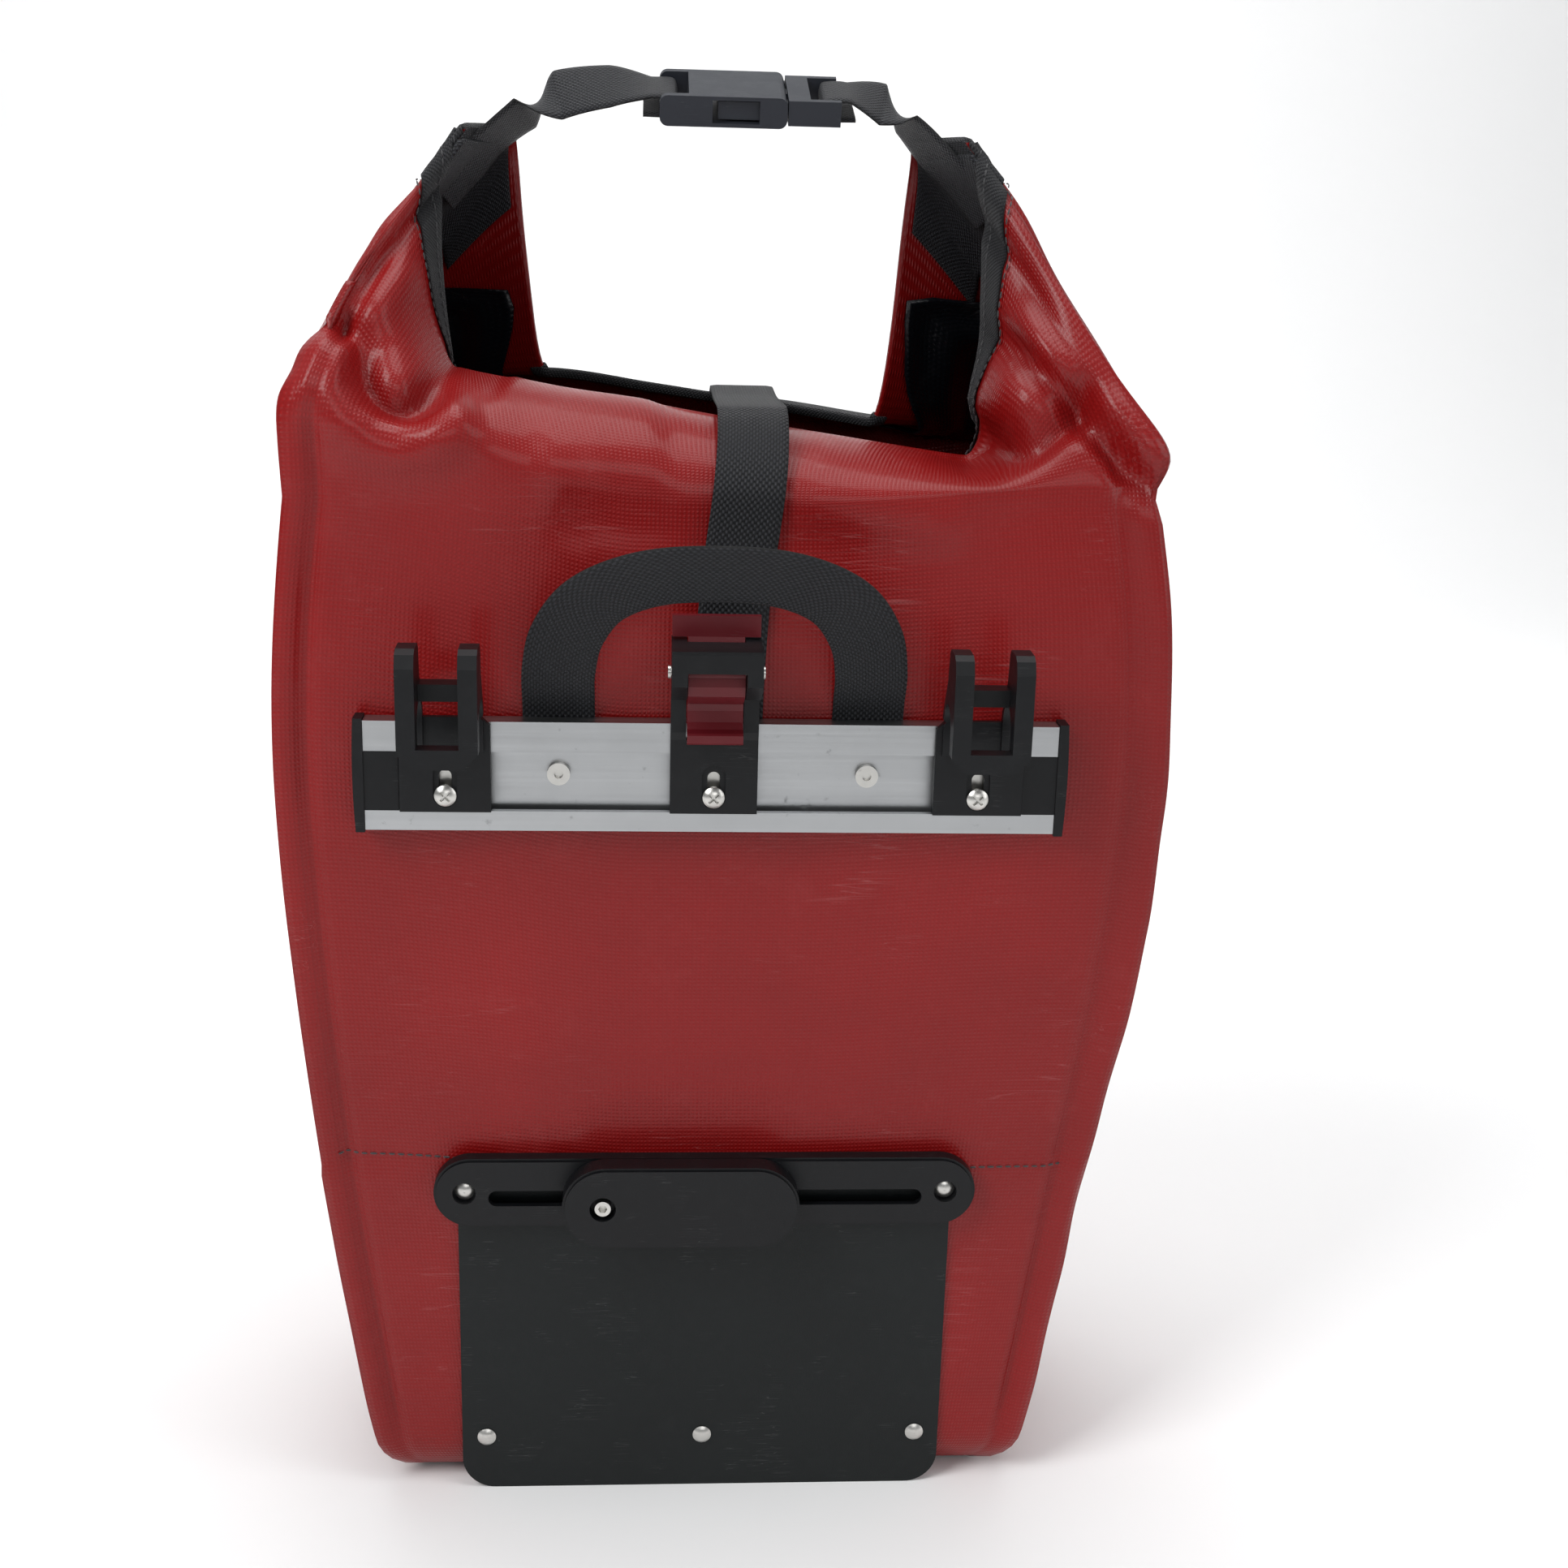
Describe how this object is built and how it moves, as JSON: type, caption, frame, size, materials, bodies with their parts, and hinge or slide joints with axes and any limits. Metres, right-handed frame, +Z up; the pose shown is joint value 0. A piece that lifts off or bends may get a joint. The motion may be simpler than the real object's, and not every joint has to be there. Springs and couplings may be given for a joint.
{
  "type": "pannier bag",
  "caption": "Roll-top pannier bag with lifted, clipped mouth, slotted aluminium rail, sliding hooks, sprung catch, swivel arm on a track and scuff plate.",
  "frame": {"origin": "middle of the base, on the floor", "axes": "+Z up, +X to the right seen from the rack side, the rack side faces -Y"},
  "size_m": [0.324, 0.2233, 0.5383],
  "materials": {
    "red_tarpaulin": "coated woven tarpaulin, semi-gloss",
    "black_webbing": "woven webbing",
    "black_plastic": "fine moulded texture",
    "grey_plastic": "fine moulded texture",
    "zinc_steel": "zinc plated",
    "aluminium": "drawn, satin",
    "red_plastic": "moulded, satin",
    "board": "sheet plastic",
    "plate": "sheet plastic, matt"
  },
  "bodies": {
    "bag": {"rack_panel": "red_tarpaulin", "side_panel_left": "red_tarpaulin", "side_panel_right": "red_tarpaulin", "road_panel": "red_tarpaulin", "base_panel": "red_tarpaulin", "stiffener_board": "board", "mouth_end_left": "red_tarpaulin", "rim_binding": "black_webbing", "rim_binding_left": "black_webbing", "end_patch_left": "black_webbing", "rail": "aluminium", "rail_end_cap_left": "black_plastic", "rail_end_cap_right": "black_plastic", "rail_bolts": "zinc_steel", "rail_nuts": "zinc_steel", "carry_handle": "black_webbing", "compression_strap": "black_webbing", "compression_strap_drop": "black_webbing", "compression_socket": "black_plastic", "compression_strap_lower": "black_webbing", "top_strap_left": "black_webbing", "buckle_socket": "grey_plastic", "track_strip": "black_plastic", "scuff_plate": "plate", "strip_rivets": "zinc_steel", "plate_rivets": "zinc_steel", "rivet_washers": "zinc_steel"},
    "hook_left": {"hook_left": "black_plastic", "hook_screw_left": "zinc_steel", "hook_nut_left": "zinc_steel"},
    "hook_right": {"hook_right": "black_plastic", "hook_screw_right": "zinc_steel", "hook_nut_right": "zinc_steel"},
    "catch": {"catch_housing": "black_plastic", "catch_screw": "zinc_steel", "catch_nut": "zinc_steel", "catch_pin": "zinc_steel", "catch_spring": "zinc_steel"},
    "catch_lever": {"catch_lever": "red_plastic"},
    "arm_slider": {"arm_bolt": "zinc_steel", "arm_nut": "zinc_steel"},
    "lower_arm": {"lower_arm": "black_plastic"},
    "mouth_end": {"mouth_end_right": "red_tarpaulin", "rim_binding_right": "black_webbing", "end_patch_right": "black_webbing", "top_strap_right": "black_webbing", "buckle_plug": "grey_plastic"},
    "prong_rack": {"buckle_prong_rack": "grey_plastic"},
    "prong_road": {"buckle_prong_road": "grey_plastic"},
    "strap_clip": {"compression_plug": "black_plastic", "compression_strap_loop": "black_webbing"},
    "clip_prong_left": {"compression_prong_left": "black_plastic"},
    "clip_prong_right": {"compression_prong_right": "black_plastic"}
  },
  "joints": [
    {"name": "hook_left_slide", "type": "slide", "parent": "bag", "child": "hook_left", "axis": [1, 0, 0], "range_m": [0, 0.025]},
    {"name": "hook_right_slide", "type": "slide", "parent": "bag", "child": "hook_right", "axis": [1, 0, 0], "range_m": [-0.025, 0]},
    {"name": "catch_slide", "type": "slide", "parent": "bag", "child": "catch", "axis": [1, 0, 0], "range_m": [-0.022, 0.022]},
    {"name": "catch_lever_turn", "type": "hinge", "parent": "catch", "child": "catch_lever", "pos_m": [0, -0.1034, 0.338], "axis": [1, 0, 0], "range_deg": [0, 13], "stiffness_Nm_per_rad": 0.15, "springref_deg": -5.73},
    {"name": "arm_slide", "type": "slide", "parent": "bag", "child": "arm_slider", "axis": [1, 0, 0], "range_m": [-0.036, 0.112]},
    {"name": "arm_swivel", "type": "hinge", "parent": "arm_slider", "child": "lower_arm", "pos_m": [-0.0389, -0.0891, 0.13], "axis": [0, 1, 0], "continuous": true},
    {"name": "buckle_release", "type": "slide", "parent": "bag", "child": "mouth_end", "axis": [1, 0, 0], "range_m": [0, 0.03]},
    {"name": "prong_rack_squeeze", "type": "hinge", "parent": "mouth_end", "child": "prong_rack", "pos_m": [0.025, -0.0096, 0.52423], "axis": [0, -0.309, 0.9511], "range_deg": [-5, 0], "stiffness_Nm_per_rad": 0.5},
    {"name": "prong_road_squeeze", "type": "hinge", "parent": "mouth_end", "child": "prong_road", "pos_m": [0.025, 0.0136, 0.53177], "axis": [0, -0.309, 0.9511], "range_deg": [0, 5], "stiffness_Nm_per_rad": 0.5},
    {"name": "clip_prong_left_squeeze", "type": "hinge", "parent": "strap_clip", "child": "clip_prong_left", "pos_m": [-0.0032, 0.091, 0.317], "axis": [0, -1, 0], "range_deg": [0, 5], "stiffness_Nm_per_rad": 0.5},
    {"name": "clip_prong_right_squeeze", "type": "hinge", "parent": "strap_clip", "child": "clip_prong_right", "pos_m": [0.0212, 0.091, 0.317], "axis": [0, -1, 0], "range_deg": [-5, 0], "stiffness_Nm_per_rad": 0.5},
    {"name": "strap_clip_release", "type": "slide", "parent": "bag", "child": "strap_clip", "axis": [0, 0, 1], "range_m": [0, 0.027], "deforming": ["compression_strap_drop"]}
  ]
}
